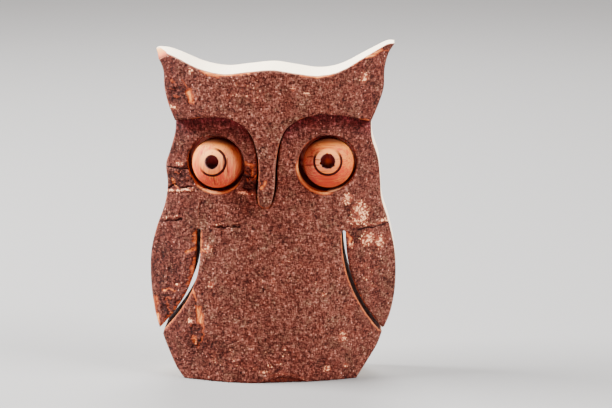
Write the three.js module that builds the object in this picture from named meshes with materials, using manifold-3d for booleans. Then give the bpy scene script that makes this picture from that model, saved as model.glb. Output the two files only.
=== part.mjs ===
// Wooden owl figurine, sawn from the bark side of a small log.
// Units are millimetres, +Z is up, the owl faces -Y and +X is to the right of the picture.
import * as THREE from 'three';
import { mergeVertices } from 'three/addons/utils/BufferGeometryUtils.js';
import Module from 'manifold-3d';

const wasm = await Module();
wasm.setup();

// Slab: flat sawn back, bark front that keeps the round of the log
const SLAB_THICK = 31.5;
const SLAB_BACK_Y = 18.07;
const LOG_CREST_X = -4;
const LOG_FALL_RIGHT = { drop: 16, reach: 55, power: 1.8, powerPerHeight: 1.0 };
const LOG_FALL_LEFT = { drop: 13, reach: 48, power: 2.2, powerPerHeight: 0 };
const OWL_HEIGHT = 150.2;
const BARK_WAVE = 0.32;
const BARK_CELL = 4.6;

// Head piece: cut free along the brow and beak, glued back a step further forward
const BROW_STEP = 4.5;
const GLUE_GAP = 0.3;
const BEAK_KERF = 1.1;

// Wings: one saw kerf from each side edge
const WING_KERF = 1.8;

// Eyes: turned balls glued into flat-bottomed bores
const SOCKET_BORE = 25.4;
const BALL_DIA = 22;
const BALL_SUNK = 4;
const PUPIL_BORE = 6.3;
const PUPIL_DEPTH = 8;
const RING_RADIUS = 5.75;
const RING_DEPTH = 0.4;
const RING_HALF_WIDTH = 0.42;
const EYE_SIDES = 40;
const EYES = {
  left: { socket: [-23.9, 98.5], ball: [-23.5, 98.6], turn: -9.5, lift: 12 },
  right: { socket: [24.5, 98.8], ball: [24.8, 98.9], turn: 0, lift: 13.3 },
};

// Corners and tips of the sawn outline, as [x, z]
const FOOT_LEFT = [-39.5, 0];
const FOOT_RIGHT = [37.4, 0];
const HAUNCH_LEFT = [-49.3, 19.1];
const HAUNCH_RIGHT = [48.7, 20.2];
const WINGTIP_LEFT = [-50.9, 21.8];
const WINGTIP_RIGHT = [49.8, 22.4];
const BROW_END_LEFT = [-41.6, 117.6];
const BROW_END_RIGHT = [43.2, 117.0];
const EAR_TIP_LEFT = [-51.6, 146.1];
const EAR_TIP_RIGHT = [53.1, 150.0];

// Soft curves between those corners
const HAUNCH_CURVE_RIGHT = [[42.4, 7.7], [46.6, 14.6]];
const WING_CURVE_RIGHT = [[52.6, 29.5], [54.5, 41], [54.3, 55], [51.6, 69], [48.2, 80.5], [47.4, 90],
  [46.5, 99], [43.7, 108.5]];
const WING_CURVE_LEFT = [[-42.1, 111.5], [-44.6, 103], [-46.6, 96.5], [-45.9, 88], [-47.5, 78.5],
  [-51.4, 68], [-54.3, 56], [-54.6, 42], [-53, 29.5]];
const HAUNCH_CURVE_LEFT = [[-47, 13], [-43.4, 5.4]];
const EAR_CURVE_LEFT = [[-44.7, 125.2], [-46.2, 132], [-46.4, 138], [-47.5, 141.9], [-49.3, 144.4]];
const CROWN_CURVE = [[-49.9, 146.7], [-45.4, 146.2], [-40, 144.3], [-30, 140.2], [-20, 138.5], [-10, 139.5],
  [0.5, 140.5], [10, 139.2], [20.5, 137.9], [30, 139.7], [41, 145.4], [49.5, 149.7]];
const EAR_CURVE_RIGHT = [[50.5, 146], [48.9, 139.5], [48.6, 131.5], [46.3, 124.2]];

// Brow and beak line, from the left end of the brow round the beak to the right end
const BROW_CURVE_LEFT = [[-35, 118.6], [-27, 119.9], [-19, 119.8], [-13, 117.6]];
const BEAK_CURVE_LEFT = [[-8.6, 113.4], [-5.7, 106], [-4.8, 97], [-5.4, 87]];
const BEAK_TIP = [[-4.8, 82], [-2.4, 80.6], [0.1, 82]];
const BEAK_CURVE_RIGHT = [[1.6, 88.5], [2.1, 98], [3.6, 107.6], [6.6, 114.8]];
const BROW_CURVE_RIGHT = [[12, 119], [20, 121.3], [29, 121], [37, 119]];

// Middle lines of the two wing kerfs, as cubic curves
const KERF_LEFT = [[-31.9, 68.4], [-32.4, 51.6], [-32, 40.6], [-51.6, 19.4]];
const KERF_RIGHT = [[31.6, 67.6], [31.7, 52.6], [34.7, 38.2], [50, 19.2]];

// The front of the left ear tip broke off along the plane through these three [x, y, z] places
const EAR_BREAK = [[-51.6, 11.5, 146.1], [-48.7, -6.5, 143.4], [-43.5, -9.2, 146]];

// Steps used along each curve
const SIDE_STEPS = 26;
const CROWN_STEPS = 34;
const SEAM_STEPS = 44;
const KERF_STEPS = 14;

const point = ([x, z]) => new THREE.Vector2(x, z);
const shifted = (list, dx, dz) => list.map(([x, z]) => [x + dx, z + dz]);

// Points of a smooth curve from one corner through a list of points to the next corner
function curveBetween(start, through, end, steps) {
  const curve = new THREE.SplineCurve([start, ...through, end].map(point));
  return curve.getPoints(steps);
}

// The brow and beak line, moved down at the brow and outwards round the beak
function seamLine(browGap, beakGap) {
  const start = [BROW_END_LEFT[0], BROW_END_LEFT[1] - browGap];
  const end = [BROW_END_RIGHT[0], BROW_END_RIGHT[1] - browGap];
  const through = [
    ...shifted(BROW_CURVE_LEFT, 0, -browGap),
    ...shifted(BEAK_CURVE_LEFT, -beakGap, 0),
    ...shifted(BEAK_TIP, 0, -beakGap),
    ...shifted(BEAK_CURVE_RIGHT, beakGap, 0),
    ...shifted(BROW_CURVE_RIGHT, 0, -browGap),
  ];
  return curveBetween(start, through, end, SEAM_STEPS);
}

// A closed outline from several runs of points, each run starting where the last one ended
function outline(runs) {
  const points = runs.flatMap((run) => run.slice(0, -1));
  return new THREE.Shape(points);
}

// How far the bark stands in front of the back of the slab
function barkDepth(x, z) {
  const across = x - LOG_CREST_X;
  const fall = across > 0 ? LOG_FALL_RIGHT : LOG_FALL_LEFT;
  const power = fall.power + fall.powerPerHeight * THREE.MathUtils.clamp(z / OWL_HEIGHT, 0, 1);
  const sag = fall.drop * (Math.abs(across) / fall.reach) ** power;
  const wave = Math.sin(x / 7.3 + 1.4 * Math.sin(z / 19)) + Math.sin(z / 9.1 + x / 17);
  return SLAB_THICK - sag - BARK_WAVE * (1 + wave / 2);
}

// A solid from a closed geometry, and back again
function solidOf(geometry) {
  geometry.deleteAttribute('normal');
  geometry.deleteAttribute('uv');
  const merged = mergeVertices(geometry, 1e-4);
  return new wasm.Manifold(new wasm.Mesh({
    numProp: 3,
    vertProperties: new Float32Array(merged.attributes.position.array),
    triVerts: new Uint32Array(merged.index.array),
  }));
}

function geometryOf(solid) {
  const mesh = solid.getMesh();
  const geometry = new THREE.BufferGeometry();
  geometry.setAttribute('position', new THREE.BufferAttribute(mesh.vertProperties, 3));
  geometry.setIndex(new THREE.BufferAttribute(mesh.triVerts, 1));
  return geometry;
}

// A straight cut through the whole slab, front to back, with the given outline
function cutThrough(shape) {
  const reach = 60;
  const geometry = new THREE.ExtrudeGeometry(shape, { depth: 2 * reach, bevelEnabled: false });
  geometry.rotateX(Math.PI / 2);
  geometry.translate(0, reach, 0);
  return solidOf(geometry);
}

// The log slab before it is sawn to shape, moved forward by a step
function slab(forward) {
  const margin = 3;
  const width = 2 * (55 + margin);
  const height = OWL_HEIGHT + 2 * margin;
  const columns = Math.round(width / BARK_CELL);
  const rows = Math.round(height / BARK_CELL);
  const geometry = new THREE.BoxGeometry(width, 2, height, columns, 1, rows);
  geometry.translate(0, 0, height / 2 - margin);
  const place = geometry.attributes.position;
  for (let i = 0; i < place.count; i += 1) {
    const front = place.getY(i) < 0;
    const depth = front ? barkDepth(place.getX(i), place.getZ(i)) : 0;
    place.setY(i, SLAB_BACK_Y - forward - depth);
  }
  return solidOf(geometry);
}

// A saw kerf of even width along a cubic curve, with a round inner end
function kerf(corners) {
  const middle = new THREE.CubicBezierCurve(...corners.map(point));
  const half = WING_KERF / 2;
  const left = [];
  const right = [];
  for (let i = 0; i <= KERF_STEPS; i += 1) {
    const t = i / KERF_STEPS;
    const at = middle.getPoint(t);
    const along = middle.getTangent(t);
    left.push(new THREE.Vector2(at.x - along.y * half, at.y + along.x * half));
    right.push(new THREE.Vector2(at.x + along.y * half, at.y - along.x * half));
  }
  const end = new THREE.Vector2(corners[0][0], corners[0][1] + half);
  return cutThrough(new THREE.Shape([end, ...left, ...right.reverse()]));
}

// A flat-bottomed bore square to the back of the slab
function socket({ socket: [x, z] }) {
  const reach = 40;
  const floor = SLAB_BACK_Y - barkDepth(x, z) + BALL_SUNK + BALL_DIA / 2 + GLUE_GAP;
  const geometry = new THREE.CylinderGeometry(SOCKET_BORE / 2, SOCKET_BORE / 2, reach, 56);
  geometry.translate(x, floor - reach / 2, z);
  return solidOf(geometry);
}

// A block whose one face lies on the plane through three places, on the side their turn points to
function blockBeyond(places) {
  const [a, b, c] = places.map((place) => new THREE.Vector3(...place));
  const side = 60;
  const normal = new THREE.Triangle(a, b, c).getNormal(new THREE.Vector3());
  const geometry = new THREE.BoxGeometry(side, side, side);
  geometry.translate(0, 0, side / 2);
  geometry.applyQuaternion(new THREE.Quaternion().setFromUnitVectors(new THREE.Vector3(0, 0, 1), normal));
  geometry.translate(a.x, a.y, a.z);
  return solidOf(geometry);
}

// Lower part: breast, belly and both wings
function bodyPiece() {
  const belowBrow = ([x, z]) => [x, z - GLUE_GAP];
  const sawn = outline([
    [point(FOOT_LEFT), point(FOOT_RIGHT)],
    curveBetween(FOOT_RIGHT, HAUNCH_CURVE_RIGHT, HAUNCH_RIGHT, SIDE_STEPS / 2),
    [point(HAUNCH_RIGHT), point(WINGTIP_RIGHT)],
    curveBetween(WINGTIP_RIGHT, WING_CURVE_RIGHT, belowBrow(BROW_END_RIGHT), SIDE_STEPS),
    seamLine(GLUE_GAP, BEAK_KERF).reverse(),
    curveBetween(belowBrow(BROW_END_LEFT), WING_CURVE_LEFT, WINGTIP_LEFT, SIDE_STEPS),
    [point(WINGTIP_LEFT), point(HAUNCH_LEFT)],
    curveBetween(HAUNCH_LEFT, HAUNCH_CURVE_LEFT, FOOT_LEFT, SIDE_STEPS / 2),
  ]);
  return geometryOf(slab(0)
    .intersect(cutThrough(sawn))
    .subtract(kerf(KERF_LEFT))
    .subtract(kerf(KERF_RIGHT))
    .subtract(socket(EYES.left))
    .subtract(socket(EYES.right)));
}

// Upper part: forehead, both ears and the beak that hangs from the brow
function headPiece() {
  const sawn = outline([
    seamLine(0, 0),
    curveBetween(BROW_END_RIGHT, [...EAR_CURVE_RIGHT].reverse(), EAR_TIP_RIGHT, SIDE_STEPS / 2),
    curveBetween(EAR_TIP_RIGHT, [...CROWN_CURVE].reverse(), EAR_TIP_LEFT, CROWN_STEPS),
    curveBetween(EAR_TIP_LEFT, [...EAR_CURVE_LEFT].reverse(), BROW_END_LEFT, SIDE_STEPS / 2),
  ]);
  return geometryOf(slab(BROW_STEP)
    .intersect(cutThrough(sawn))
    .subtract(blockBeyond(EAR_BREAK)));
}

// One eye: a ball with a drilled pupil and a scored ring round it, looking along -Y
function eyeBall() {
  const radius = BALL_DIA / 2;
  const onBall = (angle) => new THREE.Vector2(radius * Math.sin(angle), radius * Math.cos(angle));
  const atRadius = (r) => Math.asin(r / radius);
  const pupilRim = atRadius(PUPIL_BORE / 2);
  const ringInner = atRadius(RING_RADIUS - RING_HALF_WIDTH);
  const ringOuter = atRadius(RING_RADIUS + RING_HALF_WIDTH);
  const ringFloor = onBall(atRadius(RING_RADIUS)).multiplyScalar(1 - RING_DEPTH / radius);
  const pupilFloor = radius - PUPIL_DEPTH;
  const bands = 14;
  const profile = [new THREE.Vector2(0, -radius)];
  for (let i = 1; i <= bands; i += 1) {
    profile.push(onBall(Math.PI + (ringOuter - Math.PI) * (i / bands)));
  }
  profile.push(ringFloor);
  profile.push(onBall(ringInner));
  profile.push(onBall((ringInner + pupilRim) / 2));
  profile.push(onBall(pupilRim));
  profile.push(new THREE.Vector2(PUPIL_BORE / 2, pupilFloor));
  profile.push(new THREE.Vector2(0, pupilFloor - PUPIL_BORE / 4));
  const geometry = new THREE.LatheGeometry(profile, EYE_SIDES);
  geometry.rotateX(Math.PI);
  return geometry;
}

const BARK = new THREE.MeshStandardMaterial({ color: 0x6b4a40, roughness: 0.9, metalness: 0 });
const HEAD_BARK = new THREE.MeshStandardMaterial({ color: 0x8a5f50, roughness: 0.9, metalness: 0 });
const BEAD_WOOD = new THREE.MeshStandardMaterial({ color: 0xe0ab84, roughness: 0.55, metalness: 0 });

function named(name, geometry, material) {
  const mesh = new THREE.Mesh(geometry, material.clone());
  mesh.name = name;
  return mesh;
}

const owl = new THREE.Group();
owl.add(named('body', bodyPiece(), BARK));
owl.add(named('head', headPiece(), HEAD_BARK));
for (const [side, eye] of Object.entries(EYES)) {
  const [x, z] = eye.ball;
  const ball = named(`${side}_eye`, eyeBall(), BEAD_WOOD);
  ball.position.set(x, SLAB_BACK_Y - barkDepth(...eye.socket) + BALL_SUNK, z);
  ball.rotation.set(
    THREE.MathUtils.degToRad(-eye.lift),
    0,
    THREE.MathUtils.degToRad(eye.turn),
    'ZXY',
  );
  owl.add(ball);
}

export default owl;
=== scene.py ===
from math import radians

import bpy
import numpy as np
from mathutils import Matrix, Vector
from mathutils.geometry import delaunay_2d_cdt


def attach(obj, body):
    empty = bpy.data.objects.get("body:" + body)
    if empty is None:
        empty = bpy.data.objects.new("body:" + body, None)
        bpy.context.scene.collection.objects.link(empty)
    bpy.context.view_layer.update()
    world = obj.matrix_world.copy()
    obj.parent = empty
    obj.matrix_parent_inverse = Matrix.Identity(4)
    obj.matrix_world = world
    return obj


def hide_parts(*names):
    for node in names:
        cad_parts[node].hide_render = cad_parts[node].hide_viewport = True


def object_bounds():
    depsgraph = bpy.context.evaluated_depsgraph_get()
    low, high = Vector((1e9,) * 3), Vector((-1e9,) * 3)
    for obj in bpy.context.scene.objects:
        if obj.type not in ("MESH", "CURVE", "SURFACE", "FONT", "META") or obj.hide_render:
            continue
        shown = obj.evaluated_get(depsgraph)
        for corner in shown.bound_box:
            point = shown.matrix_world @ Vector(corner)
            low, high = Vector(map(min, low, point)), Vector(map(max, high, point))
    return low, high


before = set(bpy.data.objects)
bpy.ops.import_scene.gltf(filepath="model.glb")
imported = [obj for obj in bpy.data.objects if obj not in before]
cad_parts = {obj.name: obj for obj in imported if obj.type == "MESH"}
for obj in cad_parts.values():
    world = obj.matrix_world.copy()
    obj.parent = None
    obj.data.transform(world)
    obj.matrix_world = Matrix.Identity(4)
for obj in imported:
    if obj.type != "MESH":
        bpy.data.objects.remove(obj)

cad_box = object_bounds()

# Camera
# A short telephoto view from a little above the eyes and slightly from the right, worked out
# from the slab's top cut, the sliver of its right edge and the round eye bores.
MM = 0.001
AIM = Vector((15.3, -11.9, 81.5)) * MM
CAMERA_FAR = 826 * MM
CAMERA_TILT = 12.5
CAMERA_SWING = 2.3
CAMERA_LENS = 111.8


def new_object(name, data):
    """An object with this data, in the scene."""
    made = bpy.data.objects.new(name, data)
    bpy.context.scene.collection.objects.link(made)
    return made


camera = new_object("camera", bpy.data.cameras.new("camera"))
camera.data.lens = CAMERA_LENS
camera.data.clip_start = 10 * MM
facing = Matrix.Rotation(radians(CAMERA_SWING), 4, "Z") @ Matrix.Rotation(radians(90 - CAMERA_TILT), 4, "X")
camera.matrix_world = Matrix.Translation(AIM + facing.to_3x3() @ Vector((0, 0, CAMERA_FAR))) @ facing
bpy.context.scene.camera = camera

# Body
# The lower part of a slab sawn off the outside of a small log: breast, belly and both wings. The
# bark is left on the front and every other side is a bare saw cut. One kerf from each side edge
# frees a wing tip, and two flat-bottomed bores take the eyes.

# Sizes in millimetres. x runs to the right, y away from the viewer and z up.
SLAB_THICK = 31.5
SLAB_BACK = 18.07
OWL_HEIGHT = 150.2
CREST_X = -4.0
FALL_LEFT, FALL_RIGHT = 13, 16
SIDE_LEFT, SIDE_RIGHT = 48, 55
WAVINESS = 0.32
BARK_THICK = 2.3
GLUE_GAP = 0.3
BEAK_KERF = 1.1
WING_KERF = 1.8
BORE = 25.4
BALL = 22.0
BALL_SUNK = 4.0
BORES = {"left": (-23.9, 98.5), "right": (24.5, 98.8)}

FOOT_LEFT, FOOT_RIGHT = (-39.5, 0), (37.4, 0)
HAUNCH_LEFT, HAUNCH_RIGHT = (-49.3, 19.1), (48.7, 20.2)
WINGTIP_LEFT, WINGTIP_RIGHT = (-50.9, 21.8), (49.8, 22.4)
BROW_LEFT, BROW_RIGHT = (-41.6, 117.6), (43.2, 117.0)
HAUNCH_CURVE_RIGHT = [(42.4, 7.7), (46.6, 14.6)]
HAUNCH_CURVE_LEFT = [(-47, 13), (-43.4, 5.4)]
WING_CURVE_RIGHT = [(52.6, 29.5), (54.5, 41), (54.3, 55), (51.6, 69), (48.2, 80.5), (47.4, 90),
                    (46.5, 99), (43.7, 108.5)]
WING_CURVE_LEFT = [(-42.1, 111.5), (-44.6, 103), (-46.6, 96.5), (-45.9, 88), (-47.5, 78.5),
                   (-51.4, 68), (-54.3, 56), (-54.6, 42), (-53, 29.5)]
KERF_LEFT = [(-31.9, 68.4), (-32.4, 51.6), (-32, 40.6), (-51.6, 19.4)]
KERF_RIGHT = [(31.6, 67.6), (31.7, 52.6), (34.7, 38.2), (50, 19.2)]
KERF_MOUTH = 0.96
BROW_CURVE_LEFT = [(-35, 118.6), (-27, 119.9), (-19, 119.8), (-13, 117.6)]
BEAK_CURVE_LEFT = [(-8.6, 113.4), (-5.7, 106), (-4.8, 97), (-5.4, 87)]
BEAK_TIP = [(-4.8, 82), (-2.4, 80.6), (0.1, 82)]
BEAK_CURVE_RIGHT = [(1.6, 88.5), (2.1, 98), (3.6, 107.6), (6.6, 114.8)]
BEAK_KERF_SHARES = (0.85, 0.8, 0.6, 0.3)
BROW_CURVE_RIGHT = [(12, 119), (20, 121.3), (29, 121), (37, 119)]

# How far apart the meshes' places are, and how many steps a curve's span and a kerf's side have
EDGE_STEP = 0.46
FRONT_STEP = 0.46
BACK_STEP = 2.2
SPAN_STEPS = 40
KERF_STEPS = 80


def bend(*places):
    """A smooth saw line through the places: in each span a cubic whose slopes at both ends are half
    the step between the places on either side, with the end places counted twice."""
    p = np.array([places[0], *places, places[-1]], float)
    t = np.linspace(0, len(p) - 3, SPAN_STEPS * (len(p) - 3) + 1)
    i = np.minimum(t.astype(int), len(p) - 4)
    w = (t - i)[:, None]
    a, b, c, d = p[i], p[i + 1], p[i + 2], p[i + 3]
    u, v = (c - a) / 2, (d - b) / 2
    return b + u * w + (3 * c - 3 * b - 2 * u - v) * w**2 + (2 * b - 2 * c + u + v) * w**3


def even(line, step):
    """The same line with its places an even step apart and both ends kept."""
    line = np.array(line, float)
    along = np.r_[0, np.cumsum(np.hypot(*np.diff(line, axis=0).T))]
    at = np.linspace(0, along[-1], max(1, round(along[-1] / step)) + 1)
    return np.c_[np.interp(at, along, line[:, 0]), np.interp(at, along, line[:, 1])]


def moved(places, dx, dz):
    """The same places, all moved by dx and dz."""
    return [(x + dx, z + dz) for x, z in places]


def seam(brow_gap, beak_gap):
    """The brow and beak line from left to right, lowered at the brow and widened round the beak, by
    less and less towards the brow on the beak's right side."""
    return bend(
        *moved([BROW_LEFT, *BROW_CURVE_LEFT], 0, -brow_gap),
        *moved(BEAK_CURVE_LEFT, -beak_gap, 0),
        *moved(BEAK_TIP, 0, -beak_gap),
        *[(x + beak_gap * share, z) for (x, z), share in zip(BEAK_CURVE_RIGHT, BEAK_KERF_SHARES)],
        *moved([*BROW_CURVE_RIGHT, BROW_RIGHT], 0, -brow_gap),
    )


def kerf_sides(corners, wing):
    """The wing's side and the belly's side of a saw kerf, both from its mouth to its inner end: a
    cubic with four corners, moved half a kerf to either side. wing is -1 for the left wing, 1 for
    the right one."""
    a, b, c, d = np.array(corners, float)
    t = np.linspace(KERF_MOUTH, 0, KERF_STEPS)[:, None]
    middle = (1 - t) ** 3 * a + 3 * (1 - t) ** 2 * t * b + 3 * (1 - t) * t**2 * c + t**3 * d
    run = (1 - t) ** 2 * (b - a) + 2 * (1 - t) * t * (c - b) + t**2 * (d - c)
    side = np.c_[-run[:, 1], run[:, 0]] / np.linalg.norm(run, axis=1)[:, None] * wing * WING_KERF / 2
    return middle + side, middle - side


def joined(*runs):
    """One closed loop from runs of places, an even edge step apart, each run starting where the last
    one ended."""
    return np.concatenate([even(run, EDGE_STEP)[:-1] for run in runs])


left_wing_side, left_belly_side = kerf_sides(KERF_LEFT, -1)
right_wing_side, right_belly_side = kerf_sides(KERF_RIGHT, 1)


def kerf_end(start, end):
    """The round inner end of a kerf: half a circle over the gap between its two sides."""
    turn = np.linspace(0, np.pi, 9)[:, None]
    middle, half = (start + end) / 2, (start - end) / 2
    return middle + np.cos(turn) * half + np.sin(turn) * np.array([0, WING_KERF / 2])


body_loop = joined(
    [FOOT_LEFT, FOOT_RIGHT],
    bend(FOOT_RIGHT, *HAUNCH_CURVE_RIGHT, HAUNCH_RIGHT),
    [HAUNCH_RIGHT, right_belly_side[0]],
    right_belly_side,
    kerf_end(right_belly_side[-1], right_wing_side[-1]),
    right_wing_side[::-1],
    [right_wing_side[0], WINGTIP_RIGHT],
    bend(WINGTIP_RIGHT, *WING_CURVE_RIGHT, *moved([BROW_RIGHT], 0, -GLUE_GAP)),
    seam(GLUE_GAP, BEAK_KERF)[::-1],
    bend(*moved([BROW_LEFT], 0, -GLUE_GAP), *WING_CURVE_LEFT, WINGTIP_LEFT),
    [WINGTIP_LEFT, left_wing_side[0]],
    left_wing_side,
    kerf_end(left_wing_side[-1], left_belly_side[-1]),
    left_belly_side[::-1],
    [left_belly_side[0], HAUNCH_LEFT],
    bend(HAUNCH_LEFT, *HAUNCH_CURVE_LEFT, FOOT_LEFT),
)


def ring(middle, radius, step):
    """A bore's rim as a clockwise loop, its places about a step apart."""
    turn = np.linspace(0, -2 * np.pi, round(2 * np.pi * radius / step), endpoint=False)
    return np.array(middle) + radius * np.c_[np.cos(turn), np.sin(turn)]


def unit(value):
    """The value held between 0 and 1."""
    return np.clip(value, 0, 1)


def log_depth(x, z):
    """How far the bark stands in front of the back of the slab: the full thickness at the crest, less
    a power of the distance to either side, less a slow waviness made of two sines."""
    across = x - CREST_X
    fall_right = FALL_RIGHT * (np.abs(across) / SIDE_RIGHT) ** (1.8 + unit(z / OWL_HEIGHT))
    fall_left = FALL_LEFT * (np.abs(across) / SIDE_LEFT) ** 2.2
    wave = np.sin(x / 7.3 + 1.4 * np.sin(z / 19)) + np.sin(z / 9.1 + x / 17)
    return SLAB_THICK - np.where(across > 0, fall_right, fall_left) - WAVINESS * (1 + wave / 2)


LATTICE = 256


def lumps(x, z, wide, tall, seed):
    """Smooth random heights from -1 to 1: random values on a lattice of cells with that width and
    height, joined by an S-shaped curve."""
    table = np.random.default_rng(seed).uniform(-1, 1, (LATTICE, LATTICE))
    i, j = np.floor(x / wide).astype(int), np.floor(z / tall).astype(int)
    s, t = x / wide - i, z / tall - j
    s, t = s * s * (3 - 2 * s), t * t * (3 - 2 * t)
    left, right, low, high = i % LATTICE, (i + 1) % LATTICE, j % LATTICE, (j + 1) % LATTICE
    a, b, c, d = table[left, low], table[right, low], table[left, high], table[right, high]
    return (a * (1 - s) + b * s) * (1 - t) + (c * (1 - s) + d * s) * t


def scales(x, z, wide, tall, seed):
    """Packed scales: one random middle in each lattice cell of that width and height. Returns how far
    each place is from the edge shared with the next scale, 0 there and about 1 at a middle, and a
    random number for the scale it lies on."""
    table = np.random.default_rng(seed).uniform(0, 1, (3, LATTICE, LATTICE))
    i, j = np.floor(x / wide).astype(int), np.floor(z / tall).astype(int)
    near = np.full(x.shape, np.inf)
    second = near.copy()
    name = np.zeros(x.shape)
    for di in (-1, 0, 1):
        for dj in (-1, 0, 1):
            u, v, n = table[:, (i + di) % LATTICE, (j + dj) % LATTICE]
            far = np.hypot(i + di + u - x / wide, j + dj + v - z / tall)
            second = np.where(far < near, near, np.minimum(second, far))
            name = np.where(far < near, n, name)
            near = np.minimum(near, far)
    return second - near, name


def away(x, z, line):
    """Distance from each place to a line of straight spans."""
    line = np.array(line, float)
    far = np.full(x.shape, np.inf)
    for (ax, az), (bx, bz) in zip(line[:-1], line[1:]):
        dx, dz = bx - ax, bz - az
        t = unit(((x - ax) * dx + (z - az) * dz) / (dx * dx + dz * dz))
        far = np.minimum(far, np.hypot(x - ax - t * dx, z - az - t * dz))
    return far


def from_kerf(x, z, *sides):
    """Distance from each place to the nearest of these kerf sides, of which every sixth place will do."""
    return np.min([away(x, z, side[::6]) for side in sides], axis=0)


def ragged(x, z, seed):
    """Lumps of two sizes added up, which tear the edge of a mark."""
    return 0.45 * lumps(x, z, 0.9, 0.7, seed) + 0.35 * lumps(x, z, 2.6, 2.2, seed + 1)


def along(x, z, lines, width, seed):
    """1 on the lines and 0 half a width away from them, with a torn edge. The lines themselves are a
    little wavy."""
    wavy_x, wavy_z = x + 0.4 * lumps(x, z, 3, 1.9, seed + 2), z + 0.4 * lumps(x, z, 1.7, 3, seed + 3)
    far = np.min([away(wavy_x, wavy_z, line) for line in lines], axis=0)
    return unit(1.2 - far / (width / 2) + 0.9 * ragged(x, z, seed))


def oval_depth(x, z, ovals):
    """How far each place lies inside the ovals, each given as its middle x and z and its half width and
    half height: 1 at a middle, 0 on a rim and less outside."""
    return np.max([1 - np.hypot((x - cx) / rx, (z - cz) / rz) for cx, cz, rx, rz in ovals], axis=0)


def within(x, z, ovals, seed, sharp=2.5, rough=0.8):
    """1 inside the ovals and 0 outside, with a torn edge: the depth made steeper by sharp, and roughened."""
    depth = oval_depth(x, z, ovals)
    return unit(sharp * depth + rough * ragged(x, z, seed)) * (depth > 0)


def strips(x, z, lines, seed):
    """Torn strips, each given as its width in mm, its strength and its line. At each place the strongest
    counts: a bell over the distance from the line, broken into fibres that run the way the line does."""
    wavy_x = x + 0.4 * lumps(x, z, 2.2, 1.5, seed)
    wavy_z = z + 0.4 * lumps(x, z, 1.5, 2.2, seed + 1)
    rough = 1 + 0.4 * ragged(x, z, seed + 2)
    upright, level = lumps(x, z, 0.6, 3, seed + 4), lumps(x, z, 3, 0.6, seed + 5)
    best = np.zeros(x.shape)
    for width, strength, line in lines:
        (ax, az), (bx, bz) = line[0], line[-1]
        fibre = upright if abs(bz - az) > abs(bx - ax) else level
        far = away(wavy_x, wavy_z, line) * 2 / width
        best = np.maximum(best, strength * np.exp(-far**2 * rough) * (1 + 0.65 * fibre))
    return best


# Marks on the bark: cracks across it and their raised lips, rough scars, torn strips that show the
# orange inner bark, lichen, dull and dusty patches, the bores' torn edges and a flake missing at the
# foot. Lips and tears are width, strength and line, patches are ovals, and a bore's torn edge is its
# direction in degrees, how far round it reaches and its width.
CRACKS = [
    [(-50.7, 70.4), (-45, 71.6), (-39.4, 73.1)],
    [(-24.5, 70.3), (-18.7, 71), (-13.4, 71.2)],
    [(37.9, 68.3), (40.5, 69.2), (44, 69), (47.5, 69.5), (51.6, 70.5)],
    [(-46.3, 96), (-41.9, 95.7), (-36.6, 96)],
    [(-45.8, 86.2), (-43, 88.2), (-40.4, 87.3)],
    [(-39.9, 86.8), (-37.4, 87.6), (-34.4, 87.8)],
    [(-13.3, 93.6), (-10.7, 93.9), (-7.6, 93.4)],
    [(-8.3, 90.6), (-6.6, 90), (-6.4, 88.8)],
    [(-12, 88.4), (-8.6, 87.9)],
]
FAINT_CRACKS = [
    [(-1.2, 71), (5.8, 71.9), (12.7, 70.4)],
    [(20.5, 71.5), (25.7, 69.4)],
    [(-51.9, 61.6), (-46.8, 60.9)],
    [(-24, 82), (-17, 81), (-8, 81.6)],
    [(-30.9, 77), (-30.6, 84)],
    [(-44.4, 38), (-40.3, 36.6)],
]
LIPS = [
    (1.4, 1.0, [(-46.3, 85.3), (-42.1, 85.5), (-38.4, 86.1), (-34.6, 86.8)]),
    (1.3, 0.85, [(-14.1, 86.3), (-11.6, 86.7), (-9, 86.2), (-6, 85.7)]),
    (1.1, 0.5, [(-47.8, 72.6), (-41, 74.2)]),
    (1.1, 0.4, [(-25.5, 71.8), (-19, 72.5), (-13.2, 72.7)]),
    (1.1, 0.5, [(40.8, 70), (44, 70.3), (47.5, 70.9)]),
    (1.5, 1.3, [(47.2, 70.9), (52, 72)]),
    (0.7, 0.35, [(-31.6, 84.5), (-31.9, 76.9), (-32.2, 69.7)]),
]
SCARS = [(-41, 91.4, 6.6, 6.4), (-9, 92, 4.6, 8.4), (-40.6, 130, 5.4, 5), (-46.4, 33, 6.4, 8),
         (-34.6, 19, 4.6, 9)]
DULL = [(-41, 91, 6, 6), (-9.4, 91.4, 4, 4.4), (-40.3, 129.4, 5.6, 4.8), (-46.4, 32, 6, 7), (-33.6, 18, 6, 8),
        (-28.9, 81.1, 2, 2.4), (-51, 52, 4, 14), (-25, 15, 8, 6), (36.5, 66, 3, 6), (34, 78, 2.4, 5)]
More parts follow.
